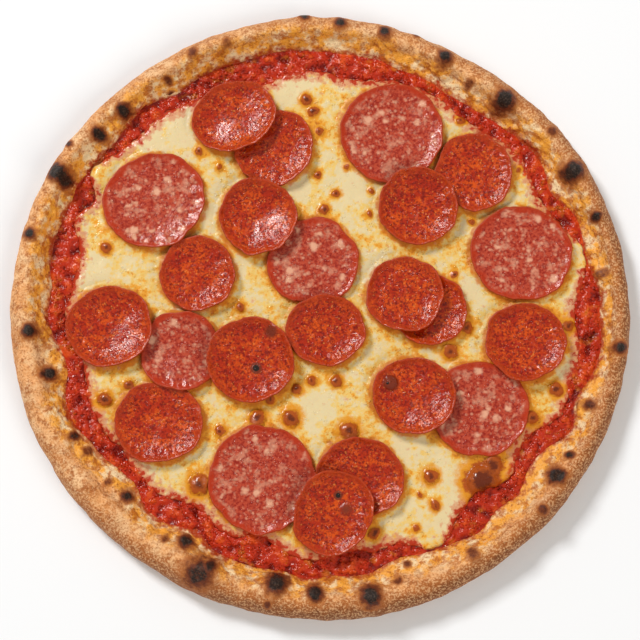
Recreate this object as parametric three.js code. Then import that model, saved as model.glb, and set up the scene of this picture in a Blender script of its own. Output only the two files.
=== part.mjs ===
// A round salami pizza, baked and left uncut, lying flat on its underside.
// Millimetres, +Z up. The origin is where the middle of the pizza meets what it lies on.
// From the bottom up it is a crust with a raised rim, a layer of tomato sauce, a layer of
// melted cheese, and slices of two sausages: small pepperoni and large marbled salami.

import * as THREE from 'three';
import { SimplexNoise } from 'three/addons/math/SimplexNoise.js';
import { mergeVertices } from 'three/addons/utils/BufferGeometryUtils.js';

// ---- Driving dimensions ----

// Radii of the three uneven round outlines, evenly spaced anticlockwise from +X.
const OUTER_EDGE = [150, 149, 145.5, 147.5, 147.5, 149.5, 150, 149, 147, 147.5, 148, 149];
const SAUCE_EDGE = [137, 130, 127, 131, 132, 134, 130, 127, 123, 126, 128, 133];
const CHEESE_EDGE = [
  125, 131, 124, 124, 120, 121, 119, 120, 125, 125, 121, 122,
  124, 119, 117, 117, 113, 113, 118, 118, 125, 115, 120, 127,
];

const DOUGH_FLOOR = 4;            // flat dough under the toppings
const RIM_BULGE_HEIGHT = 7.5;     // height at which the rim is widest
const RIM_OVERHANG = 8;           // from the widest point in to the flat underside
const RIM_BASE_HEIGHT = 12.5;     // height of a rim of no width; a wider rim rises more
const RIM_RISE_PER_WIDTH = 0.25;
const RIM_CREST = 0.45;           // place of the crest, as a share of the rim's width
const RIM_UNEVENNESS = 1.1;       // how far the baked rim swells and shrinks
const RIM_LUMP_SIZE = 26;         // distance between those swellings

const LAYER_GAP = 0.3;            // clearance between layers that lie on each other
const SAUCE_DEPTH = 1.2;
const SAUCE_LUMP_HEIGHT = 0.9;
const SAUCE_LUMP_SIZE = 9;
const SAUCE_LEAST_BAND = 2;       // least width of sauce that shows round the cheese
const CHEESE_DEPTH = 2.2;
const CHEESE_EDGE_DEPTH = 1.1;
const CHEESE_POOL_SIZE = 34;      // distance between thick and thin stretches of cheese
const CHEESE_POOL_HEIGHT = 0.6;
const CHEESE_BUBBLE_SIZE = 12;
const CHEESE_BUBBLE_HEIGHT = 0.35;

const REST_GAP = 0.5;             // clearance under a slice, which has flat facets
const SLICE_DROOP = 0.02;         // how closely a warm slice bends over what is under it
const PEPPERONI_THICKNESS = 1.3;
const SALAMI_THICKNESS = 1.2;
const PRESSED_MARGIN = 5;         // a slice starts to cup up this far from one that covers it
const SLICE_RAGGEDNESS = 0.03;    // unevenness of a slice's outline, as a share of its radius

const CRUST_SEGMENTS = 190;
const TOPPING_SEGMENTS = 110;
const SLICE_SEGMENTS = 18;

// Charred blisters that stand up on the rim: angle in degrees, distance from the middle, radius.
const RIM_BLISTERS = [
  [29, 140, 4.8], [49, 137, 5.3], [64, 139, 3.6], [77, 141, 3], [86, 143, 3], [134, 138, 3.4],
  [141, 139, 3.1], [152, 143, 5.6], [165, 146, 3], [184, 140, 3.6], [193, 134, 3.6],
  [224, 128, 3.1], [240, 128, 4.1], [246, 137, 6.3], [261, 132, 5.1], [269, 135, 3.9],
  [280, 139, 5.1], [302, 137, 3.9], [318, 142, 3], [325, 138, 4.4], [353, 144, 3.4],
];
const BLISTER_RISE = 0.4;         // height of a blister, as a share of its radius

// The slices in the order they were laid: middle x and y, the two radii of the oval outline,
// its turn in degrees, how far the edge cups up, and how far it folds up across its long axis.
const SLICES = [
  { name: 'pepperoni_04', x: -59, y: 19, long: 18.9, wide: 18.4, turn: 0, cup: 2.0, fold: 0 },
  { name: 'pepperoni_02', x: -22.5, y: 81, long: 19.8, wide: 18.4, turn: 30, cup: 1.2, fold: 0.8 },
  { name: 'pepperoni_06', x: -77, y: -53.5, long: 21.8, wide: 19.8, turn: 0, cup: 1.8, fold: 0 },
  { name: 'pepperoni_10', x: 53.5, y: 1, long: 18.4, wide: 17.4, turn: 0, cup: 0.8, fold: 0 },
  { name: 'pepperoni_11', x: 75, y: 69, long: 19.1, wide: 19.4, turn: 0, cup: 1.6, fold: 0 },
  { name: 'salami_01', x: -80.5, y: 54.5, long: 25.6, wide: 23.5, turn: 20, cup: 1.0, fold: 0 },
  { name: 'salami_02', x: -3.5, y: 25.5, long: 22.7, wide: 21.5, turn: 0, cup: 0.6, fold: 0 },
  { name: 'salami_03', x: -67, y: -19, long: 20.3, wide: 19.6, turn: 0, cup: 0.7, fold: 0 },
  { name: 'salami_04', x: 35, y: 88.5, long: 25.6, wide: 25.4, turn: 0, cup: 1.2, fold: 0 },
  { name: 'salami_05', x: 97.5, y: 29, long: 25.4, wide: 23.5, turn: 0, cup: 1.2, fold: 0 },
  { name: 'salami_06', x: 76.5, y: -47, long: 24.7, wide: 23.5, turn: 0, cup: 0.8, fold: 0 },
  { name: 'salami_07', x: -28, y: -80.5, long: 25.6, wide: 26.6, turn: 0, cup: 1.0, fold: 0 },
  { name: 'pepperoni_08', x: 2.5, y: -9, long: 19.1, wide: 17.4, turn: 0, cup: 1.6, fold: 0 },
  { name: 'pepperoni_01', x: -42, y: 96.5, long: 21.7, wide: 17.1, turn: 25, cup: 1.6, fold: 2 },
  { name: 'pepperoni_03', x: -30.5, y: 46.5, long: 18.6, wide: 19.3, turn: 0, cup: 2.4, fold: 0 },
  { name: 'pepperoni_05', x: -101.5, y: -7, long: 21.3, wide: 20, turn: 0, cup: 2.2, fold: 0 },
  { name: 'pepperoni_07', x: -33.5, y: -23.5, long: 21.3, wide: 20.8, turn: 0, cup: 2.6, fold: 0 },
  { name: 'pepperoni_09', x: 41, y: 8.5, long: 19.3, wide: 18.4, turn: 0, cup: 2.4, fold: 0 },
  { name: 'pepperoni_12', x: 47.5, y: 52, long: 19.6, wide: 19.3, turn: 0, cup: 2.2, fold: 0 },
  { name: 'pepperoni_13', x: 99, y: -14.5, long: 20.1, wide: 19.3, turn: 0, cup: 2.4, fold: 0 },
  { name: 'pepperoni_14', x: 45, y: -40.5, long: 20.8, wide: 18.6, turn: -10, cup: 2.4, fold: 0 },
  { name: 'pepperoni_15', x: 19.5, y: -80, long: 21.8, wide: 19.1, turn: -15, cup: 1.6, fold: 1 },
  { name: 'pepperoni_16', x: 6.5, y: -97, long: 18.8, wide: 21.5, turn: -25, cup: 2.6, fold: 0 },
];

// ---- Unevenness ----

THREE.MathUtils.seededRandom(31);
const noise = new SimplexNoise({ random: () => THREE.MathUtils.seededRandom() });

// A smooth random value from -1 to 1 at a place, changing over about the given distance.
// Each layer number gives its own pattern.
function lumps(x, y, distance, layer) {
  return noise.noise3d(x / distance, y / distance, 10 * layer);
}

// A smooth closed curve through evenly spaced radii, read at any angle.
function radiusAt(radii, angle) {
  const count = radii.length;
  const turns = THREE.MathUtils.euclideanModulo(angle / (2 * Math.PI), 1);
  const first = Math.floor(turns * count);
  const t = turns * count - first;
  const [before, from, to, after] = [-1, 0, 1, 2].map((k) => radii[(first + k + count) % count]);
  const slopeFrom = (to - before) / 2;
  const slopeTo = (after - from) / 2;
  const blend = t * t * (3 - 2 * t);
  return THREE.MathUtils.lerp(from, to, blend)
    + slopeFrom * t * (1 - t) * (1 - t)
    - slopeTo * t * t * (1 - t);
}

const sauceEdge = (angle) => radiusAt(SAUCE_EDGE, angle);

const cheeseEdge = (angle) =>
  Math.min(radiusAt(CHEESE_EDGE, angle), sauceEdge(angle) - SAUCE_LEAST_BAND);

// ---- Closed surfaces ----

const polar = (angle, radius, height) =>
  new THREE.Vector3(radius * Math.cos(angle), radius * Math.sin(angle), height);

// One closed surface from sections round an upright axis. section(angle) lists the points from
// the bottom of the axis, out round the edge, to the top of the axis, as many at each angle.
function surfaceFromSections(segments, section) {
  const pointCount = section(0).length;
  const outline = Array.from({ length: pointCount }, () => new THREE.Vector2(1, 0));
  const geometry = new THREE.LatheGeometry(outline, segments);
  const position = geometry.attributes.position;
  for (let i = 0; i <= segments; i++) {
    const angle = ((i % segments) / segments) * 2 * Math.PI;
    section(angle).forEach((point, j) => {
      position.setXYZ(i * pointCount + j, point.x, point.y, point.z);
    });
  }
  return closed(geometry);
}

// Joins the seam and the two poles, and drops the triangles that they leave with no area.
function closed(geometry) {
  geometry.deleteAttribute('normal');
  geometry.deleteAttribute('uv');
  const joined = mergeVertices(geometry, 1e-3);
  const corners = joined.index.array;
  const kept = [];
  for (let k = 0; k < corners.length; k += 3) {
    const [a, b, c] = corners.slice(k, k + 3);
    if (a !== b && b !== c && c !== a) {
      kept.push(a, b, c);
    }
  }
  joined.setIndex(kept);
  joined.computeVertexNormals();
  return joined;
}

function solid(name, geometry, material) {
  const mesh = new THREE.Mesh(geometry, material);
  mesh.name = name;
  return mesh;
}

// ---- Crust ----

// How far the blisters lift the top of the rim at a place.
function blisterRise(x, y) {
  let rise = 0;
  for (const [degrees, distance, radius] of RIM_BLISTERS) {
    const middle = polar(THREE.MathUtils.degToRad(degrees), distance, 0);
    const away = Math.hypot(x - middle.x, y - middle.y) / radius;
    rise += BLISTER_RISE * radius * Math.exp(-away * away);
  }
  return rise;
}

// The crust at one angle: the flat underside, the bulging outer wall, the crest, and the
// inner slope down to the flat dough under the sauce.
function crustSection(angle) {
  const edge = radiusAt(OUTER_EDGE, angle);
  const toe = sauceEdge(angle) + 0.6;
  const width = edge - toe;
  const crest = edge - RIM_CREST * width;
  const smooth = polar(angle, edge, 0);
  const swell = RIM_UNEVENNESS * lumps(smooth.x, smooth.y, RIM_LUMP_SIZE, 1);
  const top = RIM_BASE_HEIGHT + RIM_RISE_PER_WIDTH * width + swell;

  const points = [polar(angle, 0, 0), polar(angle, edge - RIM_OVERHANG, 0)];
  const addRimPoint = (radius, height, unevenness) => {
    const place = polar(angle, radius, 0);
    const lump = unevenness * lumps(place.x, place.y, RIM_LUMP_SIZE / 2, 2 + height / 60);
    points.push(polar(angle, radius, height + lump + unevenness * blisterRise(place.x, place.y)));
  };
  for (const degrees of [-60, -32, 0, 28, 58]) {
    const slope = THREE.MathUtils.degToRad(degrees);
    const reach = degrees < 0 ? RIM_OVERHANG : edge - crest;
    const rise = degrees < 0 ? RIM_BULGE_HEIGHT : top - RIM_BULGE_HEIGHT;
    const radius = edge - reach * (1 - Math.cos(slope));
    addRimPoint(radius, RIM_BULGE_HEIGHT + rise * Math.sin(slope), degrees > 0 ? 0.8 : 0);
  }
  for (const share of [0, 0.22, 0.45, 0.7]) {
    const radius = THREE.MathUtils.lerp(crest, toe, share);
    const drop = (1 + Math.cos(Math.PI * share)) / 2;
    addRimPoint(radius, DOUGH_FLOOR + (top - DOUGH_FLOOR) * drop, 1 - share);
  }
  points.push(polar(angle, toe, DOUGH_FLOOR), polar(angle, 0, DOUGH_FLOOR));
  return points;
}

const crust = solid(
  'crust',
  surfaceFromSections(CRUST_SEGMENTS, crustSection),
  new THREE.MeshStandardMaterial({ color: 0xd9a35f, roughness: 0.8, metalness: 0 }),
);

// ---- Tomato sauce ----

const SAUCE_BOTTOM = DOUGH_FLOOR + LAYER_GAP;
const SAUCE_TOP = SAUCE_BOTTOM + SAUCE_DEPTH;

// The sauce at one angle: flat where the cheese covers it, and lumpy in the band that shows.
function sauceSection(angle) {
  const edge = sauceEdge(angle);
  const hidden = cheeseEdge(angle);
  const band = edge - hidden;
  const lumpAt = (share) => {
    const radius = hidden + share * band;
    const place = polar(angle, radius, 0);
    const lump = 0.5 + 0.5 * lumps(place.x, place.y, SAUCE_LUMP_SIZE, 4);
    const fade = THREE.MathUtils.smoothstep(band, 2, 8);
    return polar(angle, radius, SAUCE_TOP + SAUCE_LUMP_HEIGHT * lump * fade);
  };
  return [
    polar(angle, 0, SAUCE_BOTTOM),
    polar(angle, edge - 0.6, SAUCE_BOTTOM),
    polar(angle, edge, SAUCE_BOTTOM + SAUCE_DEPTH / 2),
    lumpAt(0.82),
    lumpAt(0.5),
    polar(angle, hidden + 0.15 * band, SAUCE_TOP),
    polar(angle, hidden - 5, SAUCE_TOP),
    polar(angle, 0, SAUCE_TOP),
  ];
}

const sauce = solid(
  'tomato_sauce',
  surfaceFromSections(TOPPING_SEGMENTS, sauceSection),
  new THREE.MeshStandardMaterial({ color: 0xb8301a, roughness: 0.45, metalness: 0 }),
);

// ---- Melted cheese ----

const CHEESE_BOTTOM = SAUCE_TOP + LAYER_GAP;
const CHEESE_RINGS = [0.97, 0.92, 0.84, 0.74, 0.63, 0.51, 0.38, 0.22];

function cheeseTop(x, y) {
  return CHEESE_BOTTOM + CHEESE_DEPTH
    + CHEESE_POOL_HEIGHT * lumps(x, y, CHEESE_POOL_SIZE, 5)
    + CHEESE_BUBBLE_HEIGHT * lumps(x, y, CHEESE_BUBBLE_SIZE, 6);
}

// The cheese at one angle: flat below, with a thin rounded edge and an uneven melted top.
function cheeseSection(angle) {
  const edge = cheeseEdge(angle);
  const points = [
    polar(angle, 0, CHEESE_BOTTOM),
    polar(angle, edge - 1, CHEESE_BOTTOM),
    polar(angle, edge, CHEESE_BOTTOM + CHEESE_EDGE_DEPTH / 2),
  ];
  CHEESE_RINGS.forEach((share, ring) => {
    const place = polar(angle, share * edge, 0);
    const top = cheeseTop(place.x, place.y);
    const height = ring === 0 ? (top + CHEESE_BOTTOM + CHEESE_EDGE_DEPTH) / 2 : top;
    points.push(polar(angle, share * edge, height));
  });
  points.push(polar(angle, 0, cheeseTop(0, 0)));
  return points;
}

const cheese = solid(
  'cheese',
  surfaceFromSections(TOPPING_SEGMENTS, cheeseSection),
  new THREE.MeshStandardMaterial({ color: 0xead08c, roughness: 0.4, metalness: 0 }),
);

// ---- What a slice is laid on ----

// A map of the highest surface over each square of a grid, filled mesh by mesh.
class ReliefMap {
  constructor(halfWidth, cell) {
    this.halfWidth = halfWidth;
    this.cell = cell;
    this.side = Math.ceil((2 * halfWidth) / cell);
    this.heights = new Float32Array(this.side * this.side);
  }

  middleOf(index) {
    return (index + 0.5) * this.cell - this.halfWidth;
  }

  indexOf(position) {
    const index = Math.floor((position + this.halfWidth) / this.cell);
    return THREE.MathUtils.clamp(index, 0, this.side - 1);
  }

  // Calls use(x, y, cellNumber) for each square whose middle lies in a box.
  forEachIn(lowX, highX, lowY, highY, use) {
    for (let row = this.indexOf(lowY); row <= this.indexOf(highY); row++) {
      for (let column = this.indexOf(lowX); column <= this.indexOf(highX); column++) {
        use(this.middleOf(column), this.middleOf(row), row * this.side + column);
      }
    }
  }

  add(mesh) {
    mesh.updateMatrixWorld();
    const position = mesh.geometry.attributes.position;
    const corner = (n) => {
      const point = new THREE.Vector3().fromBufferAttribute(position, mesh.geometry.index.getX(n));
      return point.applyMatrix4(mesh.matrixWorld);
    };
    const onFloor = (point) => new THREE.Vector3(point.x, point.y, 0);
    const shares = new THREE.Vector3();
    for (let n = 0; n < mesh.geometry.index.count; n += 3) {
      const corners = [corner(n), corner(n + 1), corner(n + 2)];
      const shadow = new THREE.Triangle(...corners.map(onFloor));
      const box = new THREE.Box3().setFromPoints(corners);
      this.forEachIn(box.min.x, box.max.x, box.min.y, box.max.y, (x, y, cellNumber) => {
        const inside = shadow.getBarycoord(new THREE.Vector3(x, y, 0), shares);
        if (inside && Math.min(shares.x, shares.y, shares.z) >= 0) {
          const height = shares.dot(new THREE.Vector3(...corners.map((point) => point.z)));
          this.heights[cellNumber] = Math.max(this.heights[cellNumber], height);
        }
      });
    }
  }
}

const relief = new ReliefMap(140, 1);
relief.add(sauce);
relief.add(cheese);

// ---- Slices ----

// Distance from a slice's middle to its edge, in a direction given by an angle.
function sliceRadius(slice, angle) {
  const turned = angle - THREE.MathUtils.degToRad(slice.turn);
  const along = Math.cos(turned) / slice.long;
  const across = Math.sin(turned) / slice.wide;
  const ragged = lumps(slice.x + 9 * Math.cos(angle), slice.y + 9 * Math.sin(angle), 8, 7);
  return (1 + SLICE_RAGGEDNESS * ragged) / Math.hypot(along, across);
}

// The lowest surface that a slice bent over its support can have, as a function of place.
function drapeOver(slice) {
  const support = [];
  const reach = Math.max(slice.long, slice.wide) * (1 + SLICE_RAGGEDNESS) + 1;
  const { x: midX, y: midY } = slice;
  relief.forEachIn(midX - reach, midX + reach, midY - reach, midY + reach, (x, y, cellNumber) => {
    const away = Math.hypot(x - midX, y - midY);
    if (away <= sliceRadius(slice, Math.atan2(y - midY, x - midX)) + 1) {
      support.push([x, y, relief.heights[cellNumber]]);
    }
  });
  return (placeX, placeY) => {
    let height = 0;
    for (const [x, y, top] of support) {
      const away = Math.max(0, Math.hypot(x - placeX, y - placeY) - 1.5 * relief.cell);
      height = Math.max(height, top - SLICE_DROOP * away * away);
    }
    return height + REST_GAP;
  };
}

// How much the slices laid later press a place on a slice down, from 0 to 1.
function pressedDown(slice, x, y) {
  let pressed = 0;
  for (const later of SLICES.slice(SLICES.indexOf(slice) + 1)) {
    const away = Math.hypot(x - later.x, y - later.y);
    const edge = sliceRadius(later, Math.atan2(y - later.y, x - later.x));
    pressed = Math.max(pressed, 1 - THREE.MathUtils.smoothstep(away, edge, edge + PRESSED_MARGIN));
  }
  return pressed;
}

// A slice is a thin disc that follows what it lies on. Its edge cups up where nothing covers
// it, and a fold lifts the two sides that lie away from its long axis.
function sliceGeometry(slice, thickness) {
  const drape = drapeOver(slice);
  const turn = THREE.MathUtils.degToRad(slice.turn);
  const section = (angle) => {
    const edge = sliceRadius(slice, angle);
    const sideways = Math.sin(angle - turn) ** 2;
    const point = (share, lift) => {
      const local = polar(angle, share * edge, 0);
      const [x, y] = [slice.x + local.x, slice.y + local.y];
      const curl = slice.cup * share ** 3 + slice.fold * sideways * share ** 2;
      local.z = drape(x, y) + curl * (1 - pressedDown(slice, x, y)) + lift;
      return local;
    };
    return [
      point(0, 0), point(0.46, 0), point(0.78, 0), point(0.98, 0),
      point(1, thickness), point(0.78, thickness), point(0.46, thickness), point(0, thickness),
    ];
  };
  return surfaceFromSections(SLICE_SEGMENTS, section);
}

const pepperoniMaterial = new THREE.MeshStandardMaterial({
  color: 0xb23a1c, roughness: 0.4, metalness: 0,
});
const salamiMaterial = new THREE.MeshStandardMaterial({
  color: 0xb5524a, roughness: 0.4, metalness: 0,
});

const slices = new THREE.Group();
for (const slice of SLICES) {
  const isSalami = slice.name.startsWith('salami');
  const thickness = isSalami ? SALAMI_THICKNESS : PEPPERONI_THICKNESS;
  const material = isSalami ? salamiMaterial.clone() : pepperoniMaterial.clone();
  const mesh = solid(slice.name, sliceGeometry(slice, thickness), material);
  mesh.position.set(slice.x, slice.y, 0);
  slices.add(mesh);
  relief.add(mesh);
}

// ---- The whole pizza ----

const pizza = new THREE.Group();
pizza.add(crust, sauce, cheese, slices);

export default pizza;
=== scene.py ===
import math

import bmesh
import bpy
import numpy as np
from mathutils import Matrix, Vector, geometry, noise
from mathutils.bvhtree import BVHTree


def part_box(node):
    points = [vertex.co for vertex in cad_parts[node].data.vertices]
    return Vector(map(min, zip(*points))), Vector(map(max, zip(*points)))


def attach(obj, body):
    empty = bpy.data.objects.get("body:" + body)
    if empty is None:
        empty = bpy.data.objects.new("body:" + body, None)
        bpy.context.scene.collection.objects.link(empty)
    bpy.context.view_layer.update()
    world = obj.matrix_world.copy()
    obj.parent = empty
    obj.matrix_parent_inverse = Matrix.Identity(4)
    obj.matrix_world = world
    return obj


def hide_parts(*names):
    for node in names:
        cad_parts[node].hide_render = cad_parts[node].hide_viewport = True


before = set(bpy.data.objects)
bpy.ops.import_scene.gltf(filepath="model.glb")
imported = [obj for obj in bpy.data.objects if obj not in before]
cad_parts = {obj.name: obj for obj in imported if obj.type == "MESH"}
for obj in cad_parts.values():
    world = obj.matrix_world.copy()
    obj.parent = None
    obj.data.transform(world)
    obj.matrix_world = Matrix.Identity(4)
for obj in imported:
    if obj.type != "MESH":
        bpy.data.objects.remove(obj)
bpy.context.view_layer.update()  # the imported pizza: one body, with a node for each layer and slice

# ---- Crust --------------------
# One round of wheat dough, pressed flat by hand with a thick edge left round it, and baked on
# hot stone. The edge puffed up unevenly, its thinnest bubbles charred, and on its inner slope
# the dough took up oil and tomato.

MM = 0.001  # lengths are in millimetres until a mesh, a light or a material is made
AROUND = 1080  # divisions round the pizza
RIM_ROWS = 64  # divisions from the foot of the inner slope to the underside
BULGE_HEIGHT = 7.5  # height at which the rim is widest
UNDERSIDE_REACH = 8.0  # from the widest point in to the flat underside
SAUCE_EDGE_LEVEL = 0.6  # height over the sauce's underside at which its edge is read
SAUCE_TO_CRUST = 0.6  # from the edge of the sauce solid out to the foot of the slope
DOUGH_LAP = 1.2  # how far the dough bulges in over the sauce where it stops short
SLOPE_SHARE = 0.3  # the share of the rows that the bulges move inwards
SLOPE_START = 4.5  # height at which the inner slope starts
FLOOR_SHARES = (0.985, 0.93, 0.8, 0.55, 0.25)
UNDERSIDE_SHARES = (0.99, 0.95, 0.88, 0.78, 0.65, 0.5, 0.35, 0.2, 0.08)
UNDERSIDE_RISE = 0.3  # how far the underside stands off the stone in places
EDGE_BLUR = 4  # divisions over which the corners of the solids are smoothed
DEPTH_BLURS = 4  # passes that smooth them from row to row
OVERHEAD = 50.0  # rays start this high, this low or this far out
UNDERFOOT = -10.0
FAR_OUT = 400.0

# Values of the fields that the material reads, where nothing is near.
UNBAKED = -3.0
UNDER_SAUCE = -5.0
FAR_PAST_SAUCE = 40.0
FAR_FROM_SIDE = 30.0

DOUGH_LUMPS = ((15.0, 1.2), (6.5, 0.8), (2.8, 0.34), (1.3, 0.12))  # size, and how high
SLOPE_LUMPS = ((5.0, 1.1), (2.3, 0.6))  # more of them low on the inner slope
BLISTER_RISE = 0.5  # height of a charred bubble, as a share of its radius
BLISTER_FOOT = 1.15  # how far out its dome ends, as a share of its radius
WIDEST_BLISTER = 4.5  # a wider one is as tall as one of this radius
PALEST_BLISTER = 0.55  # a paler one is as tall as one that baked this dark
SWELL_RISE = 0.22  # height of the soft swelling round it, as a share of its radius
SWELL_FOOT = 2.6  # how far out the swelling ends
CHAR_RAGGEDNESS = 0.28  # how far the edge of the char strays, as a share of its radius
PALE_CHAR_LOSS = 0.6  # how much of its char a bubble lacks that stayed pale
CHAR_UNDER_DARKNESS = 0.25  # how far the char at its middle stays under how dark it baked
PIMPLES = 500
PIMPLE_RADIUS = (0.7, 2.3)
PIMPLE_RISE = 0.3  # height of a pimple, as a share of its radius
PIMPLE_ROWS = (3, 30)  # the rows on the upper side of the rim
PIMPLE_REACH = 9  # divisions to either side that the widest pimple takes up

# Charred bubbles: angle in degrees, distance from the middle, radius, and how dark each baked.
CHAR_SPOTS = (
    (19, 141, 2.6, 0.85), (29, 140, 5.0, 1.0), (49, 137, 5.3, 1.0), (64, 139, 3.8, 0.9),
    (77, 141, 3.2, 0.8), (86, 143, 3.3, 0.8), (93, 146, 3.0, 0.7), (134, 138, 3.6, 0.9),
    (141, 139, 3.4, 0.9), (152, 144, 4.6, 1.0), (152.5, 140, 4.0, 1.0), (165, 145, 3.0, 0.9),
    (146, 147, 2.2, 0.6), (124, 131, 2.0, 0.7), (109, 140, 3.0, 0.25), (116, 142, 3.0, 0.4),
    (123, 137, 2.4, 0.4), (38, 143, 3.0, 0.45), (71, 145, 2.2, 0.4), (184, 140, 3.6, 0.9),
    (193, 134, 3.6, 0.9), (207, 133, 2.8, 0.6), (211, 131, 2.8, 0.35), (219, 131, 2.2, 0.3),
    (224, 128, 3.6, 0.75), (240, 128, 4.1, 0.9), (245.5, 138, 8.6, 0.62), (247, 133, 3.8, 0.7),
    (261, 132, 5.1, 1.0), (260, 142, 2.2, 0.5), (269, 135, 3.9, 1.0), (280, 138, 5.1, 1.0),
    (286, 134, 2.8, 0.4), (289, 128, 2.4, 0.4), (302, 137, 3.6, 0.35), (318, 142, 2.9, 0.5),
    (325, 138, 4.2, 1.0), (330, 138, 2.3, 0.7), (340, 131, 2.2, 0.9), (341, 138, 3.2, 0.5),
    (353, 145, 3.4, 0.9), (57, 134, 2.6, 0.35), (236, 132, 2.2, 0.3), (8, 139, 3.0, 0.3),
)
# How much darker the outer side of the crust is painted: angle in degrees, and amount.
# It is partly browner baking, and partly painted shade on the sides turned away from the key light.
BROWNED_AND_SHADED_SIDES = (
    (0, 0.9), (20, 0.85), (45, 0.5), (70, 0.28), (95, 0.3), (130, 0.3), (160, 0.15), (190, 0.1),
    (210, 0.3), (230, 0.65), (250, 0.9), (275, 1.0), (300, 1.0), (330, 0.95), (360, 0.9),
)
# How far the sauce climbs the slope past its solid's edge, or stops short of it because the
# dough bulges in: angle in degrees, and millimetres.
SAUCE_CLIMB = (
    (0, -2.5), (4, 1), (7, -3), (13, -3), (17.5, 0), (21, 2.2), (24, -1), (28, -5), (32, 0),
    (36, 2.6), (40, 3.2), (45, 0), (50, -0.7), (59, -1.6), (64, 0), (73, -2), (78, 0.5),
    (85, -1.4), (97, 0), (110, -1), (116, 0), (123, -4.5), (128, 0.5), (133, 0), (138, -3),
    (147, -2.4), (151, 0.5), (158, -1), (165, 2.5), (172, 1), (176, -2.5), (179, 3), (184, 0.5),
    (187, -2.9), (193, -6), (198, 0.8), (204, 3.5), (208, -1.3), (212, -1.3), (217, -5),
    (221.7, -5.3), (225, -4), (229, 2.3), (233, 2.7), (237, -0.8), (240, -2.8), (244, 0.2),
    (248.5, 3.2), (253, -0.3), (257, 2), (261.5, -2.3), (266.5, 2.5), (270, 1), (273, -2.3),
    (276, 0.4), (281, 0), (285, -3), (289, -6.2), (293, -1.5), (298, -1.8), (303, 0), (307, 1.2),
    (311, -3.8), (315, -3), (318, -1), (322, -7.6), (327, -8.5), (331.6, -3.7), (335, 0.8),
    (338.7, -3.2), (341, -7), (346, -2.5), (353, 0.6), (357, -1.3), (360, -2.5),
)
CLIMB_RAGGEDNESS = ((5.0, 0.9), (2.0, 0.5))

around = np.linspace(0, 2 * math.pi, AROUND, endpoint=False)
outward = np.stack([np.cos(around), np.sin(around), np.zeros(AROUND)], axis=1)
upward = np.array([0.0, 0.0, 1.0])
up = Vector((0, 0, 1))
down = Vector((0, 0, -1))


def solid_of(*nodes):
    """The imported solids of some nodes, in millimetres, to read heights and edges from."""
    corners = []
    faces = []
    for name in nodes:
        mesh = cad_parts[name].data
        start = len(corners)
        corners += [v.co / MM for v in mesh.vertices]
        faces += [[start + v for v in face.vertices] for face in mesh.polygons]
    return BVHTree.FromPolygons(corners, faces)


def top_height(solid, x=0.0, y=0.0):
    """The height of a solid's upper side at a place, or None where there is no solid."""
    hit = solid.ray_cast(Vector((x, y, OVERHEAD)), down)[0]
    return hit.z if hit else None


def edge_radius(solid, height):
    """The radius of a solid's outer edge at one height, at each division of the circle."""
    starts = FAR_OUT * outward + height * upward
    return smooth_round(np.array([
        solid.ray_cast(Vector(start), Vector(-way))[0].xy.length
        for start, way in zip(starts, outward)
    ]), EDGE_BLUR)


def smooth_round(values, spread):
    """Blurs values that run round the circle, over a spread given in divisions."""
    weight = np.exp(-2 * (math.pi * np.fft.fftfreq(AROUND) * spread) ** 2)
    shape = (AROUND,) + (1,) * (values.ndim - 1)
    return np.fft.ifft(np.fft.fft(values, axis=0) * weight.reshape(shape), axis=0).real


def by_angle(pairs, spread=6):
    """Smooth values at each division of the circle, from pairs of degrees and a value."""
    degrees, values = zip(*pairs)
    return smooth_round(np.interp(np.degrees(around), degrees, values), spread)


def lumps(points, size, pattern=0):
    """A smooth random value from about -1 to 1 at each point, changing over about a size."""
    flat = (np.asarray(points).reshape(-1, 3) / size + 17.3 * pattern).tolist()
    values = np.array([noise.noise(point) for point in flat])
    return values.reshape(np.asarray(points).shape[:-1])


def relief(points, layers, pattern):
    """Several layers of lumps added up, each given as a size and a height."""
    return sum(tall * lumps(points, size, pattern + k) for k, (size, tall) in enumerate(layers))


def fade(values, low, high):
    """0 where values are at low, 1 where they are at high, and an S-shaped curve between."""
    share = np.clip((values - low) / (high - low), 0, 1)
    return share * share * (3 - 2 * share)


def dome(away):
    """The height of a round top at a distance from its middle, as shares of its radius."""
    return np.sqrt(np.clip(1 - away ** 2, 0, 1))


def new_object(name, data):
    """An object in the scene, at the origin."""
    made = bpy.data.objects.new(name, data)
    bpy.context.scene.collection.objects.link(made)
    return made


def shown_piece(name, mesh, fields):
    """A shown, smooth-shaded piece from a mesh, with named values at its points."""
    for field, values in fields.items():
        flat = np.concatenate([np.ravel(part) for part in values]).astype(np.float32)
        mesh.attributes.new(field, "FLOAT", "POINT").data.foreach_set("value", flat)
    mesh.shade_smooth()
    mesh.update()
    return new_object(name, mesh)


def closed_rings(name, rings, fields):
    """A closed piece through rings of points, listed from the top middle to the bottom middle.
    Its first and last rings are single points. fields are values to keep for the material."""
    count = len(rings[1])
    points = np.concatenate(rings) * MM
    starts = np.cumsum([0] + [len(ring) for ring in rings])
    here = np.arange(count)
    after = (here + 1) % count
    faces = [(0, 1 + k, 1 + (k + 1) % count) for k in range(count)]
    for ring in range(1, len(rings) - 2):
        upper, lower = starts[ring], starts[ring + 1]
        faces += np.stack([upper + here, lower + here, lower + after, upper + after], 1).tolist()
    last = int(starts[-2])
    rim = last - count
    faces += [(last, rim + (k + 1) % count, rim + k) for k in range(count)]
    mesh = bpy.data.meshes.new(name)
    mesh.from_pydata(points.tolist(), [], faces)
    return shown_piece(name, mesh, fields)


def ring_values(values, before, after, inner, outer):
    """Values at the points of closed_rings: rows of values, with constants before and after."""
    rows = [np.full(1, inner)] + [np.full(AROUND, inner)] * before
    rows += [values[:, row] for row in range(values.shape[1])]
    return rows + [np.full(AROUND, outer)] * after + [np.full(1, outer)]


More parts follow.
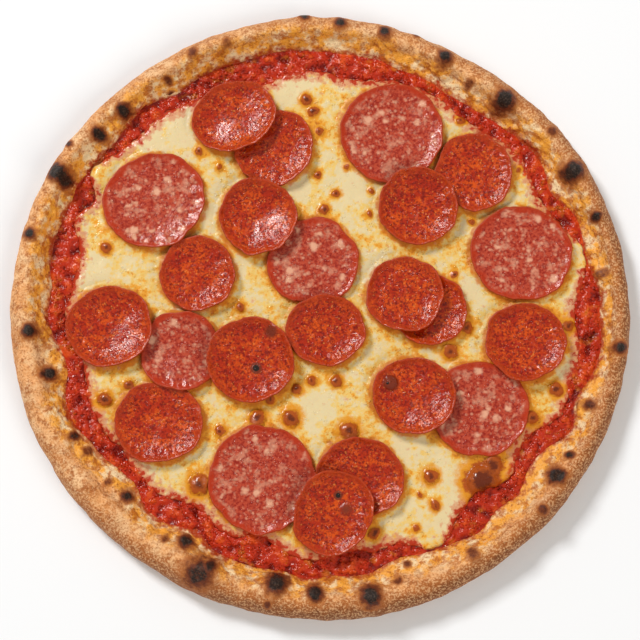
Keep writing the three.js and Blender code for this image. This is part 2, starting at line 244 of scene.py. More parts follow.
crust_solid = solid_of("crust")
sauce_solid = solid_of("tomato_sauce")
sauce_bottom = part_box("tomato_sauce")[0].z / MM
crust_edge = edge_radius(crust_solid, BULGE_HEIGHT)
sauce_edge = edge_radius(sauce_solid, sauce_bottom + SAUCE_EDGE_LEVEL)
slope_foot = sauce_edge + SAUCE_TO_CRUST
floor_height = top_height(crust_solid)
sauce_reach = sauce_edge + by_angle(SAUCE_CLIMB) + relief(130 * outward, CLIMB_RAGGEDNESS, 21)

# The rim is read along rays that fan out from the middle of its thickness.
rim_middle = (crust_edge + slope_foot) / 2
foot_turn = np.arctan2(floor_height - BULGE_HEIGHT, slope_foot - rim_middle) % (2 * math.pi)
under_turn = np.arctan2(-BULGE_HEIGHT, crust_edge - UNDERSIDE_REACH - rim_middle)
row_share = np.linspace(0, 1, RIM_ROWS)
turn = foot_turn[:, None] + (under_turn - foot_turn)[:, None] * row_share
ray = np.cos(turn)[..., None] * outward[:, None, :] + np.sin(turn)[..., None] * upward
centre = rim_middle[:, None] * outward + BULGE_HEIGHT * upward
depth = np.array([
    [crust_solid.ray_cast(Vector(start), Vector(way))[3] for way in ways]
    for start, ways in zip(centre, ray)
])
depth = smooth_round(depth, 3.5)
for _ in range(DEPTH_BLURS):
    depth[:, 1:-1] = (depth[:, :-2] + 2 * depth[:, 1:-1] + depth[:, 2:]) / 4
rim = centre[:, None, :] + depth[..., None] * ray

# Where the sauce stops short, the foot of the slope bulges in to meet it.
bulge_in = smooth_round(np.clip(sauce_edge + DOUGH_LAP - sauce_reach, 0, 10), 3)
foot_share = 1 - fade(row_share, 0, SLOPE_SHARE)
rim -= (bulge_in[:, None] * foot_share)[..., None] * outward[:, None, :]
slope_foot = slope_foot - bulge_in

# Lumps and pimples are pushed out along the same rays, and charred bubbles are raised.
free = fade(row_share, 0.0, 0.1) * (1 - fade(row_share, 0.86, 1.0))
push = relief(rim, DOUGH_LUMPS, 0) * (1 - 0.5 * fade(row_share, 0.4, 0.55))
push += relief(rim, SLOPE_LUMPS, 5) * fade(row_share, 0.42, 0.2)
rise = np.zeros(push.shape)
warp = 1 + CHAR_RAGGEDNESS * lumps(rim, 3.0, 11)
char = np.full(push.shape, UNBAKED)
upper = rim[..., 2] > BULGE_HEIGHT - 1
for degrees, distance, radius, darkness in CHAR_SPOTS:
    spot = distance * np.array([math.cos(math.radians(degrees)), math.sin(math.radians(degrees))])
    away = np.hypot(rim[..., 0] - spot[0], rim[..., 1] - spot[1]) / radius
    away = np.where(upper, away, away + 2)
    tall = min(radius, WIDEST_BLISTER)
    rise += BLISTER_RISE * max(darkness, PALEST_BLISTER) * tall * dome(away / BLISTER_FOOT)
    push += SWELL_RISE * tall * np.clip(1 - (away / SWELL_FOOT) ** 2, 0, 1) ** 2
    spot_char = 1 - away * warp - PALE_CHAR_LOSS * (1 - darkness)
    char = np.maximum(char, np.minimum(spot_char, darkness - CHAR_UNDER_DARKNESS))
picker = np.random.default_rng(5)
pimple_columns = picker.integers(0, AROUND, PIMPLES)
pimple_rows = picker.integers(*PIMPLE_ROWS, PIMPLES)
for column, row in zip(pimple_columns, pimple_rows):
    radius = picker.uniform(*PIMPLE_RADIUS)
    near = np.arange(column - PIMPLE_REACH, column + PIMPLE_REACH + 1) % AROUND
    away = np.linalg.norm(rim[near] - rim[column, row], axis=2) / radius
    push[near] += PIMPLE_RISE * radius * np.clip(1 - away ** 2, 0, 1) ** 1.5
rim += (push * free)[..., None] * ray
rim[..., 2] += rise * free
slope_radius = np.hypot(rim[..., 0], rim[..., 1])
slope_height = rim[..., 2]

floor_rings = [
    share * slope_foot[:, None] * outward + floor_height * upward for share in FLOOR_SHARES
]
under_rings = []
for share in UNDERSIDE_SHARES:
    ring = share * (crust_edge - UNDERSIDE_REACH)[:, None] * outward
    ring[:, 2] = UNDERSIDE_RISE * np.clip(lumps(ring, 14.0, 9), 0, 1)
    under_rings.append(ring)
crust_rings = (
    [floor_height * upward[None]] + floor_rings[::-1]
    + [rim[:, row] for row in range(RIM_ROWS)] + under_rings + [np.zeros((1, 3))]
)
inside, outside = len(floor_rings), len(under_rings)
on_slope = slope_height > SLOPE_START
past_sauce = np.where(on_slope, slope_radius - sauce_reach[:, None], UNDER_SAUCE)
past_sauce = np.where(row_share > 0.5, FAR_PAST_SAUCE, past_sauce)
from_side = np.clip(crust_edge[:, None] - slope_radius, 0, FAR_FROM_SIDE)
from_side = np.where(slope_height < BULGE_HEIGHT, 0.0, from_side)
from_side = np.where(row_share < 0.25, FAR_FROM_SIDE, from_side)
# The outer side is painted darker by angle: browner baking, with painted shade where it faces away
# from the light.
browned_and_shaded_side = by_angle(BROWNED_AND_SHADED_SIDES, 30)[:, None] * (1 - fade(from_side, 1.0, 13.5))
crust = closed_rings("crust_dough", crust_rings, {
    "char": ring_values(char, inside, outside, UNBAKED, UNBAKED),
    "past_sauce": ring_values(past_sauce, inside, outside, UNDER_SAUCE, FAR_PAST_SAUCE),
    "browned_and_shaded_side": ring_values(browned_and_shaded_side, inside, outside, 0.0, 0.3),
    "underneath": ring_values(
        np.tile(fade(row_share, 0.78, 0.97), (AROUND, 1)), inside, outside, 0.0, 1.0,
    ),
})


class Nodes:
    """Adds nodes to a material or a node group, and links what is passed to them."""

    def __init__(self, tree):
        self.tree = tree

    def add(self, kind, inputs, output=0, **settings):
        node = self.tree.nodes.new(kind)
        for name, value in settings.items():
            setattr(node, name, value)
        for socket, value in inputs.items():
            if isinstance(value, bpy.types.NodeSocket):
                self.tree.links.new(value, node.inputs[socket])
            else:
                node.inputs[socket].default_value = value
        return node.outputs[output]

    def field(self, name):
        """A value that is kept at the points of the mesh."""
        return self.add("ShaderNodeAttribute", {}, "Fac", attribute_name=name)

    def math(self, operation, first, second=0.0, third=0.0):
        inputs = {0: first, 1: second, 2: third}
        return self.add("ShaderNodeMath", inputs, operation=operation)

    def times(self, first, second):
        return self.math("MULTIPLY", first, second)

    def plus(self, first, second):
        return self.math("ADD", first, second)

    def sway(self, value, noise_value, amount):
        """A value moved up and down by a noise that runs from 0 to 1."""
        centred = self.math("SUBTRACT", noise_value, 0.5)
        return self.math("MULTIPLY_ADD", centred, amount, value)

    def ramp(self, value, low, high, start=0.0, end=1.0):
        """start where the value is at low, end where it is at high, and smooth between."""
        inputs = {
            "Value": value, "From Min": low, "From Max": high, "To Min": start, "To Max": end,
        }
        return self.add("ShaderNodeMapRange", inputs, interpolation_type="SMOOTHSTEP")

    def blend(self, share, first, second):
        """A colour that goes from the first to the second as the share goes from 0 to 1."""
        inputs = {"Factor": share, 6: first, 7: second}
        return self.add("ShaderNodeMix", inputs, 2, data_type="RGBA")

    def coats(self, colour, *coats):
        """A colour under others. Each comes with a value, the level at which none of the coat
        shows, the level at which most of it does, and how much that is where it isn't all."""
        for upper, value, low, high, *most in coats:
            colour = self.blend(self.ramp(value, low, high, 0.0, *most), colour, upper)
        return colour

    def place(self, pattern=0.0):
        """Places on the piece itself, shifted so that each pattern is different."""
        inputs = {0: self.add("ShaderNodeTexCoord", {}, "Object"), 1: (pattern,) * 3}
        return self.add("ShaderNodeVectorMath", inputs, operation="ADD")

    def clouds(self, size, detail=2.0, roughness=0.5, pattern=0.0):
        """Soft random values round 0.5, whose features are about a size in millimetres."""
        inputs = {
            "Vector": self.place(pattern), "Scale": 1 / (size * MM), "Detail": detail,
            "Roughness": roughness,
        }
        return self.add("ShaderNodeTexNoise", inputs)

    def cells(self, size, pattern=0.0, output="Distance"):
        """Cells of about a size in millimetres: the distance to their middles, or a colour."""
        inputs = {"Vector": self.place(pattern), "Scale": 1 / (size * MM)}
        return self.add("ShaderNodeTexVoronoi", inputs, output)

    def oil_beads(self, bead_size, cover):
        """The outputs of the shared oil_beads group, for beads of a size in millimetres."""
        inputs = {"Bead size": bead_size, "Cover": cover}
        return self.add("ShaderNodeGroup", inputs, node_tree=oil_beads).node.outputs

    def bump(self, height, distance, strength=1.0):
        inputs = {"Height": height, "Distance": distance * MM, "Strength": strength}
        return self.add("ShaderNodeBump", inputs, "Normal")


def add_sockets(group, way, labels, kind="NodeSocketFloat"):
    """Named inputs or outputs of a node group."""
    for label in labels:
        group.interface.new_socket(label, in_out=way, socket_type=kind)


def new_material(name):
    material = bpy.data.materials.new(name)
    material.use_nodes = True
    material.node_tree.nodes.clear()
    return material, Nodes(material.node_tree)


def finish_material(nodes, colour, roughness, normal=None, **constants):
    """Ends a material in one Principled shader. The constants are set on its own sockets."""
    inputs = {"Base Color": colour, "Roughness": roughness}
    if normal is not None:
        inputs["Normal"] = normal
    inputs.update({name.replace("_", " "): value for name, value in constants.items()})
    shader = nodes.add("ShaderNodeBsdfPrincipled", inputs, "BSDF")
    output = nodes.tree.nodes.new("ShaderNodeOutputMaterial")
    nodes.tree.links.new(shader, output.inputs["Surface"])


FLOUR = (0.93, 0.6, 0.32, 1)
TAN = (0.84, 0.39, 0.145, 1)
BROWNED = (0.6, 0.22, 0.055, 1)
TOAST = (0.44, 0.135, 0.03, 1)
DARK_TOAST = (0.2, 0.062, 0.018, 1)
CREAM = (0.97, 0.75, 0.44, 1)
GOLD = (0.95, 0.41, 0.045, 1)
AMBER = (0.5, 0.12, 0.006, 1)
STAIN = (0.42, 0.04, 0.005, 1)
SCORCH = (0.16, 0.034, 0.01, 1)
CHARCOAL = (0.018, 0.01, 0.007, 1)
# partly grey ash, partly a painted glint on the char
ASH_AND_GLINT = (0.075, 0.044, 0.03, 1)

crust_material, n = new_material("baked_dough")
grain = n.clouds(1.0, 3, 0.65)
mottle = n.clouds(4.0, 4, 0.62, 0.2)
patches = n.clouds(13.0, 3, 0.55, 0.4)
sauce_near = n.sway(n.field("past_sauce"), mottle, 7.0)
beyond = n.sway(sauce_near, patches, 9.0)
colour = n.coats(
    TAN, (FLOUR, patches, 0.43, 0.62, 0.85),
    (BROWNED, n.clouds(9.0, 4, 0.65, 5.2), 0.47, 0.62, 0.85), (TOAST, mottle, 0.51, 0.65, 0.85),
)
slope = n.coats(
    CREAM, (GOLD, n.clouds(6.0, 3, 0.6, 1.1), 0.37, 0.56),
    (AMBER, n.clouds(4.5, 4, 0.66, 2.3), 0.48, 0.62, 0.85),
)
# Pinholes are sunk by the bump, and painted darker amber: painted shade in the pits.
pinholes = n.times(n.ramp(n.cells(1.6, 0.7), 0.34, 0.14), n.ramp(mottle, 0.46, 0.54))
slope = n.blend(n.times(pinholes, 0.65), slope, AMBER)
stained = n.sway(sauce_near, n.clouds(3.0, 3, 0.6, 6.3), 7.0)
colour = n.coats(slope, (colour, beyond, 6.5, 13.0), (STAIN, stained, 3.2, 0.2))
sandy = n.ramp(beyond, 5.0, 10.0, 0.35, 1.0)
colour = n.blend(n.times(n.ramp(grain, 0.5, 0.64, 0, 0.5), sandy), colour, FLOUR)
colour = n.blend(n.times(n.ramp(grain, 0.49, 0.35, 0, 0.6), sandy), colour, TOAST)
# The browned side is partly real baking and partly painted shade on the sides away from the key
# light.
side = n.sway(n.sway(n.field("browned_and_shaded_side"), mottle, 0.8), grain, -0.9)
colour = n.coats(colour, (TOAST, side, 0.05, 0.6, 0.95), (DARK_TOAST, side, 0.5, 1.1, 0.85))
dusty = n.times(n.ramp(grain, 0.48, 0.6, 0, 0.5), n.ramp(side, 0.0, 0.5))
colour = n.blend(dusty, colour, FLOUR)
under = n.coats(TAN, (DARK_TOAST, n.clouds(10.0, 4, 0.7, 3.1), 0.45, 0.68))
colour = n.blend(n.field("underneath"), colour, under)
burnt = n.sway(n.field("char"), n.clouds(1.8, 3, 0.65, 3.7), 0.7)
# Lighter specks on the char: partly grey ash, partly painted glints.
soot_and_glint = n.coats(CHARCOAL, (ASH_AND_GLINT, n.clouds(1.0, 3, 0.7, 4.4), 0.5, 0.62))
colour = n.coats(
    colour, (TOAST, burnt, -0.7, -0.1, 0.9), (SCORCH, burnt, -0.25, 0.2), (soot_and_glint, burnt, 0.15, 0.45),
)
height = n.math("MULTIPLY_ADD", pinholes, -0.6, n.math("MULTIPLY_ADD", mottle, 1.6, grain))
roughness = n.plus(n.ramp(beyond, 1.5, 7.0, 0.28, 0.7), n.ramp(burnt, 0.0, 0.4, 0.0, -0.15))
finish_material(n, colour, roughness, n.bump(height, 0.5, 0.9), Specular_IOR_Level=0.3)
crust.data.materials.append(crust_material)
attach(crust, "root")
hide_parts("crust")

# ---- Tomato sauce --------------------
# Crushed tomatoes cooked down on the dough. The cheese hides most of the sauce, and what shows
# is a wet, lumpy band whose ragged edge climbs the inner slope of the crust, with bits of pulp
# that stand out of it.

SAUCE_ROWS = 36
UNDER_CHEESE = 9.0  # how far the lumpy sauce runs in under the cheese
PULP_RELIEF = ((7.0, 1.3), (3.0, 1.0), (1.4, 0.35))
PULP_LIFT = 0.35  # how far the pulp stands over the solid on the whole
SLOPE_FILM = 0.75  # thickness of the sauce on the slope
SLOPE_SINK = 0.35  # how far its edge dips into the dough
SAUCE_TAIL = 1.2  # how far it runs on inside the dough
SAUCE_UNDERCUT = 1.5  # how far its underside lies in from that
CHEESE_EDGE_LEVEL = 0.55  # height over the cheese's underside at which its edge is read
CHEESE_PAST_SAUCE = 0.2  # the furthest that the cheese passes the sauce
# How far the cheese runs out past its solid's edge, or stops short of it: degrees, millimetres.
CHEESE_REACH = (
    (0, -2.4), (4, -1), (6, 1), (9.5, 2.5), (14, 2), (16.5, 1), (19, -3.8), (23, -3.2),
    (26.5, -4), (30, -2.5), (33, 0.6), (38, 2), (42.6, 0), (47, -1), (52, -2.4), (57, 0),
    (61.6, 3), (66, 2.2), (73, 1), (78, -1.5), (85, -3), (87.6, 1.5), (90, 3), (94, 1.5),
    (99.5, 2.3), (103, -3), (112, -2), (122, -2.4), (124.6, 0), (130, 1), (135, 0), (139.7, 2.5),
    (143.5, 6), (145.5, 12), (149.5, 13), (151.6, 0.5), (155, 2), (157, 9), (160.5, 9), (162.5, 0),
    (168, -2), (172, -2.5), (177, -1.5), (180, 1), (191, -3.9), (195, -2), (197, 1),
    (203.7, 2.7), (208, 2), (212, 1.5), (215, -2.8), (217.4, 0.5), (222.6, 0), (227, 1.3),
    (232, 0.5), (234.5, -2.7), (237, -2.7), (241.6, 0), (246, 4), (250, 4), (253.4, -2.7),
    (256.7, -2), (260.5, 0.8), (265, 3.2), (270, 1.3), (273, -1), (279.5, -3), (282, 4),
    (285.6, -2), (290, -3.5), (292.7, 1.5), (296.5, 3), (300, 0.5), (304, -5), (308, -4.5),
    (310.5, -4.5), (312.5, 1.5), (316.4, 5), (320, 6.5), (323.5, 0.5), (329, -3), (333, -2),
    (335, 4), (338.7, 2), (342, 1), (346, -1.4), (350.5, 1), (355, 2), (360, -2.4),
)
CHEESE_RAGGEDNESS = ((4.5, 1.0), (2.0, 0.7))

cheese_solid = solid_of("cheese")
cheese_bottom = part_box("cheese")[0].z / MM
cheese_edge = edge_radius(cheese_solid, cheese_bottom + CHEESE_EDGE_LEVEL)
cheese_reach = cheese_edge + by_angle(CHEESE_REACH) + relief(118 * outward, CHEESE_RAGGEDNESS, 41)
cheese_reach = np.minimum(cheese_reach, sauce_reach + CHEESE_PAST_SAUCE)
sauce_level = top_height(sauce_solid)

half = RIM_ROWS // 2
rising_radius = np.maximum.accumulate(slope_radius[:, :half], axis=1)
sauce_start = np.minimum(cheese_edge, cheese_reach) - UNDER_CHEESE
sauce_end = sauce_reach + SAUCE_TAIL
hidden_shares = (0.3, 0.7)
sauce_rings = [sauce_level * upward[None]]
sauce_rings += [
    share * sauce_start[:, None] * outward + sauce_level * upward for share in hidden_shares
]
pulp_rows = []
bare_rows = []
for share in np.linspace(0, 1, SAUCE_ROWS):
    radius = sauce_start + share * (sauce_end - sauce_start)
    ring = radius[:, None] * outward
    dough = np.array([
        np.interp(r, radii, heights)
        for r, radii, heights in zip(radius, rising_radius, slope_height[:, :half])
    ])
    film = SLOPE_FILM * fade(sauce_reach - radius, -0.6, 1.8) - SLOPE_SINK
    pulp = relief(ring, PULP_RELIEF, 30)
    free = fade(sauce_reach - radius, -0.4, 1.4) * fade(radius - sauce_start, 0, 4)
    ring[:, 2] = np.maximum(sauce_level, dough + film) + (pulp + PULP_LIFT) * free
    pulp_rows.append(pulp)
    bare_rows.append(fade(radius - cheese_reach, -2.0, 0.5) * fade(sauce_reach - radius, 0.0, 1.5))
    sauce_rings.append(ring)
sauce_rings.append((sauce_end - SAUCE_UNDERCUT)[:, None] * outward + sauce_bottom * upward)
sauce_rings.append(sauce_bottom * upward[None])
sauce = closed_rings("sauce_layer", sauce_rings, {
    "pulp": ring_values(np.stack(pulp_rows, axis=1), len(hidden_shares), 1, 0.0, 0.0),
    "bare": ring_values(np.stack(bare_rows, axis=1), len(hidden_shares), 1, 0.0, 0.0),
})

# Oil stands in tiny beads on all that is wet: the sauce, the cheese and the slices.
oil_beads = bpy.data.node_groups.new("oil_beads", "ShaderNodeTree")
add_sockets(oil_beads, "INPUT", ("Bead size", "Cover"))
add_sockets(oil_beads, "OUTPUT", ("Height", "Roughness"))
n = Nodes(oil_beads)
asked = oil_beads.nodes.new("NodeGroupInput").outputs
per_metre = n.math("DIVIDE", 1 / MM, asked["Bead size"])
near_bead = n.add("ShaderNodeTexVoronoi", {"Vector": n.place(), "Scale": per_metre})
wet_patches = n.add("ShaderNodeTexNoise", {
    "Vector": n.place(0.3), "Scale": n.math("DIVIDE", per_metre, 4.0), "Detail": 2.0,
})
covered = n.ramp(n.plus(wet_patches, asked["Cover"]), 0.95, 1.05)
bead = n.times(n.ramp(near_bead, 0.42, 0.1), covered)
film = n.add("ShaderNodeTexNoise", {
    "Vector": n.place(), "Scale": n.math("DIVIDE", per_metre, 2.0), "Detail": 2.0,
})
given = oil_beads.nodes.new("NodeGroupOutput").inputs
oil_beads.links.new(n.math("MULTIPLY_ADD", film, 0.6, bead), given["Height"])
oil_beads.links.new(n.ramp(film, 0.35, 0.65, 0.14, 0.28), given["Roughness"])

TOMATO = (0.5, 0.028, 0.006, 1)
DARK_TOMATO = (0.2, 0.006, 0.002, 1)
BRIGHT_TOMATO = (0.68, 0.08, 0.012, 1)
OILY_ORANGE = (0.58, 0.15, 0.012, 1)

sauce_material, n = new_material("cooked_tomato")
# Painted shade in the hollows between the lumps and painted light on their tops, swayed by noise.
lump_light_and_shade = n.sway(n.field("pulp"), n.clouds(1.6, 3, 0.6), 1.3)
colour = n.coats(
    DARK_TOMATO, (TOMATO, lump_light_and_shade, -0.9, 0.05), (BRIGHT_TOMATO, lump_light_and_shade, 0.15, 1.0),
    (OILY_ORANGE, n.clouds(7.0, 3, 0.6, 1.7), 0.56, 0.72, 0.75),
)
oil = n.oil_beads(1.1, 0.5)
height = n.math("MULTIPLY_ADD", n.clouds(2.0, 2, 0.5, 0.5), 1.5, oil["Height"])
normal = n.bump(height, 0.8, 0.9)
finish_material(n, colour, oil["Roughness"], normal, Specular_IOR_Level=0.4)
sauce.data.materials.append(sauce_material)
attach(sauce, "root")
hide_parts("tomato_sauce")

# Bits of tomato flesh, scattered by Geometry Nodes over the part of the sauce that shows.
FLESH_PER_AREA = 0.13  # bits on a square millimetre
FLESH_SIZE = (0.35, 1.15)  # smallest and largest radius
FLESH_STRETCH = (1.0, 1.9)  # least and most that a bit is longer than wide
FLESH_FLATNESS = 0.6
FLESH_TILT = 0.5  # radians that a bit leans at most

scatter = bpy.data.node_groups.new("tomato_flesh", "GeometryNodeTree")
for way in ("INPUT", "OUTPUT"):
    add_sockets(scatter, way, ("Geometry",), "NodeSocketGeometry")
flesh_inputs = {
    "Bits per square metre": FLESH_PER_AREA / MM ** 2,
    "Smallest": FLESH_SIZE[0] * MM,
    "Largest": FLESH_SIZE[1] * MM,
    "Flatness": FLESH_FLATNESS,
}
add_sockets(scatter, "INPUT", flesh_inputs)
n = Nodes(scatter)
sizes = scatter.nodes.new("NodeGroupInput").outputs
bare = n.add(
    "GeometryNodeInputNamedAttribute", {"Name": "bare"}, "Attribute", data_type="FLOAT",
)
bare_density = n.times(bare, sizes["Bits per square metre"])
spots = n.add("GeometryNodeDistributePointsOnFaces", {
    "Mesh": sizes["Geometry"], "Density": bare_density, "Seed": 7,
}, "Points", distribute_method="RANDOM").node
bit = n.add("GeometryNodeMeshUVSphere", {"Radius": 1.0, "Segments": 7, "Rings": 5}, "Mesh")
bit_size = n.add("FunctionNodeRandomValue", {
    2: sizes["Smallest"], 3: sizes["Largest"], "Seed": 3,
}, 1, data_type="FLOAT")
stretch = n.add("FunctionNodeRandomValue", {
    2: FLESH_STRETCH[0], 3: FLESH_STRETCH[1], "Seed": 4,
}, 1, data_type="FLOAT")
bit_scale = n.add("ShaderNodeCombineXYZ", {
    "X": n.times(bit_size, stretch), "Y": bit_size, "Z": n.times(bit_size, sizes["Flatness"]),
})
spin = n.add("FunctionNodeRandomValue", {
    0: (0.0, 0.0, 0.0), 1: (FLESH_TILT, FLESH_TILT, 2 * math.pi), "Seed": 5,
}, 0, data_type="FLOAT_VECTOR")
turned = n.add("FunctionNodeRotateEuler", {
    "Rotation": spots.outputs["Rotation"], "Rotate By": spin,
}, rotation_type="EULER", space="LOCAL")
bits = n.add("GeometryNodeInstanceOnPoints", {
    "Points": spots.outputs["Points"], "Instance": bit, "Rotation": turned, "Scale": bit_scale,
})
real = n.add("GeometryNodeRealizeInstances", {"Geometry": bits})
rounded = n.add("GeometryNodeSetShadeSmooth", {"Geometry": real})
coated = n.add("GeometryNodeSetMaterial", {"Geometry": rounded, "Material": sauce_material})
scatter.links.new(coated, scatter.nodes.new("NodeGroupOutput").inputs["Geometry"])


def finished_mesh(piece):
    """The mesh of a piece as its modifiers leave it."""
    depsgraph = bpy.context.evaluated_depsgraph_get()
    return bpy.data.meshes.new_from_object(piece.evaluated_get(depsgraph))


modifier = sauce.modifiers.new("scatter", "NODES")
modifier.node_group = scatter
for socket in scatter.interface.items_tree:
    if socket.name in flesh_inputs:
        modifier[socket.identifier] = flesh_inputs[socket.name]
flesh = new_object("tomato_flesh", finished_mesh(sauce))
sauce.modifiers.remove(modifier)
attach(flesh, "root")

# ---- Melted cheese --------------------
# Torn mozzarella that has run together into one sheet: milky where it pooled thick, golden and
# freckled where it fried in its own fat, with small bubbles that browned. It wells up against
# the slices, and runs out thin over the sauce.

CHEESE_CELLS = 300  # divisions across the sheet
CHEESE_ROLL = 5.0  # width of its rounded edge
EDGE_THICKNESS = 0.1  # the share of its height that is left at the very edge
EDGE_SINK = 0.3  # how far that edge lies in the sauce
PULP_UNDER = 1.2  # how far lumps of sauce lift the cheese that ran out over them
PULP_UNDER_EDGE = 0.3  # the share of this that is left at the very edge
SHEET_SINK = 0.1  # how far the flat underside lies below the solid's
SHEET_UNDERCUT = 0.98  # the radius of that underside, as a share of the sheet's
CHEESE_LUMPS = ((9.0, 0.32), (3.6, 0.18))
FRIED_LUMPS = ((1.8, 0.24),)
SLICE_CLEARANCE = 0.25  # from the cheese up to the slice that lies on it
SLICE_SURROUNDINGS = 1.5  # how far past a slice's outline the cheese is kept under it
WELL_HEIGHT = 1.7  # how far the cheese wells up against a slice
WELL_WIDTH = 4.0
WELL_UNEVENNESS = 0.6
MILK_FALL = 0.6  # how much milkiness is lost from a pool's middle to its radius
MILK_UNEVENNESS = 0.4
BUBBLE_RISE = 0.65  # height of a bubble, as a share of its radius
BUBBLE_STRAY = 0.9  # how far its outline strays from a circle
PALE_BROWN_LOSS = 0.35  # how much of its brown a bubble lacks that stayed pale
FAR_FROM_RED = 8.0  # added to the distance from the edge where no sauce shows past it

# Browned bubbles: x, y, radius, and how dark each baked.
BUBBLES = (
    (-104, 32, 2.4, 0.8), (-59, 80, 2.1, 0.6), (-49, 72, 1.8, 0.5), (-7, 106, 2.6, 0.7),
    (-3, 100, 2.4, 0.9), (-39, 3, 2.2, 0.6), (-1, 68, 1.7, 0.6), (8, 59, 2.0, 0.6),
    (2, 51, 2.4, 0.6), (24, 49, 1.7, 0.5), (25, 60, 1.5, 0.4), (74, 45, 1.8, 0.5),
    (65, 19, 1.8, 0.7), (0, 90, 1.9, 0.5), (69, 96, 2.2, 0.6), (13, 72, 1.5, 0.4),
    (97, 71, 1.5, 0.5), (-104, -42, 3.4, 0.8), (-92, -35, 2.4, 0.6), (-58, -83, 4.4, 0.9),
    (-30, -51, 3.9, 0.6), (-14, -51, 3.9, 0.7), (-48, -57, 2.4, 0.5), (-11, -37, 2.4, 0.7),
    (-4, -33, 2.4, 0.6), (-24, -42, 2.4, 0.5), (71, -7, 2.9, 0.7), (63, -19, 3.4, 0.6),
    (120, -6, 2.6, 0.7), (114, -37, 2.9, 0.9), (8, -33, 2.9, 0.6), (14, -57, 4.1, 0.9),
    (53, -79, 3.4, 0.7), (78, -81, 6.4, 1.8), (83, -74, 4.2, 1.3), (55, -93, 2.4, 0.7),
    (48, -88, 1.5, 0.5), (46, -104, 1.7, 0.6), (26, -106, 2.6, 0.9), (102, -51, 3.2, 0.9),
)
# Thick milky pools: x, y and radius.
MILK_POOLS = (
    (-72, 90, 17), (-14, 110, 12), (-2, -45, 12), (66, -88, 20), (-88, -75, 14), (18, 62, 13),
    (-57, 52, 9), (-62, 1, 8), (22, 22, 9), (88, 47, 12), (72, 10, 9), (58, -22, 8),
    (-108, 20, 10), (-14, 62, 10), (40, -62, 10), (10, 8, 7), (-42, 22, 8), (-98, 62, 9),
    (118, -28, 8), (64, 96, 7), (-16, -60, 7),
)
CURL = {"pepperoni": 1.4, "salami": 0.7}  # how far the rim of a slice curls up
CURL_WIDTH = 5.5
CURL_SHAPE = 1.2  # 1 gives a straight slope

slice_nodes = sorted(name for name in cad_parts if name.startswith(("pepperoni", "salami")))


class Slice:
    """A slice with its corners smoothed: the solid, and its outline seen from above."""

    def __init__(self, name):
        draft = bmesh.new()
        draft.from_mesh(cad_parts[name].data)
        bmesh.ops.remove_doubles(draft, verts=draft.verts, dist=0.01 * MM)
        bmesh.ops.join_triangles(
            draft, faces=draft.faces, angle_face_threshold=1.0, angle_shape_threshold=3.0,
        )
        mesh = bpy.data.meshes.new(name)
        draft.to_mesh(mesh)
        draft.free()
        piece = new_object(name + "_draft", mesh)
        smoother = piece.modifiers.new("smooth", "SUBSURF")
        smoother.levels = 3
        smoother.render_levels = 3
        smooth = finished_mesh(piece)
        bpy.data.objects.remove(piece)
        corners = [v.co / MM for v in smooth.vertices]
        self.solid = BVHTree.FromPolygons(corners, [list(f.vertices) for f in smooth.polygons])
        bpy.data.meshes.remove(smooth)
        flat = [corner.xy for corner in corners]
        hull = np.array([flat[k] for k in geometry.convex_hull_2d(flat)])
        self.middle = (hull.min(axis=0) + hull.max(axis=0)) / 2
        away = hull - self.middle
        order = np.argsort(np.arctan2(away[:, 1], away[:, 0]))
        self.angles = np.arctan2(away[:, 1], away[:, 0])[order]
        self.radii = np.hypot(away[:, 0], away[:, 1])[order]
        self.curl_height = CURL[name.split("_")[0]]

    def inward(self, x, y):
        """How far places lie inside the outline, along the line to the slice's middle."""
        direction = np.arctan2(y - self.middle[1], x - self.middle[0])
        radius = np.interp(direction, self.angles, self.radii, period=2 * math.pi)
        return radius - np.hypot(x - self.middle[0], y - self.middle[1])

    def curl(self, inward):
        """How far the shrunken rim curls up past its solid, at a distance inside the outline."""
        return self.curl_height * np.clip(1 - inward / CURL_WIDTH, 0, 1) ** CURL_SHAPE


slices = {name: Slice(name) for name in slice_nodes}


def height_map(solid, half_width, step, blurs):
    """Blurred heights of a solid on a square grid, as a function that reads them at places."""
    lines = np.arange(-half_width, half_width + step, step)
    tops = [[top_height(solid, x, y) for x in lines] for y in lines]
    level = np.median([top for row in tops for top in row if top is not None])
    heights = np.array([[level if top is None else top for top in row] for row in tops])
    for _ in range(blurs):
        padded = np.pad(heights, 1, mode="edge")
        heights = (padded[:-2, 1:-1] + padded[2:, 1:-1] + padded[1:-1, :-2] + padded[1:-1, 2:]
                   + 4 * heights) / 8

    def read(x, y):
        across = np.clip((x + half_width) / step, 0, len(lines) - 1.001)
        along = np.clip((y + half_width) / step, 0, len(lines) - 1.001)
        i, j = across.astype(int), along.astype(int)
        near = heights[j, i] * (1 + i - across) + heights[j, i + 1] * (across - i)
        far = heights[j + 1, i] * (1 + i - across) + heights[j + 1, i + 1] * (across - i)
        return near * (1 + j - along) + far * (along - j)

    return read


# A square grid pulled out to a disc keeps its cells the same size all over the sheet.
steps = np.linspace(-1, 1, CHEESE_CELLS + 1)
grid_x, grid_y = np.meshgrid(steps, steps)
from_middle = np.maximum(np.abs(grid_x), np.abs(grid_y))
safe_x = np.where(grid_x == 0, 1e-9, grid_x)
safe_y = np.where(grid_y == 0, 1e-9, grid_y)
direction = np.where(
    np.abs(grid_x) >= np.abs(grid_y),
    math.pi / 4 * grid_y / safe_x + math.pi * (grid_x < 0),
    math.pi / 2 - math.pi / 4 * grid_x / safe_y + math.pi * (grid_y < 0),
)
reach = np.interp(direction, around, cheese_reach, period=2 * math.pi)
core = np.interp(direction, around, np.minimum(cheese_edge, cheese_reach), period=2 * math.pi)
grid_radius = from_middle * (core + fade(from_middle, 0.8, 1.0) * (reach - core))
x = grid_radius * np.cos(direction)
y = grid_radius * np.sin(direction)
flat = np.stack([x, y, np.zeros_like(x)], axis=-1)
to_edge = reach - grid_radius
to_slice = np.min([-each.inward(x, y) for each in slices.values()], axis=0)

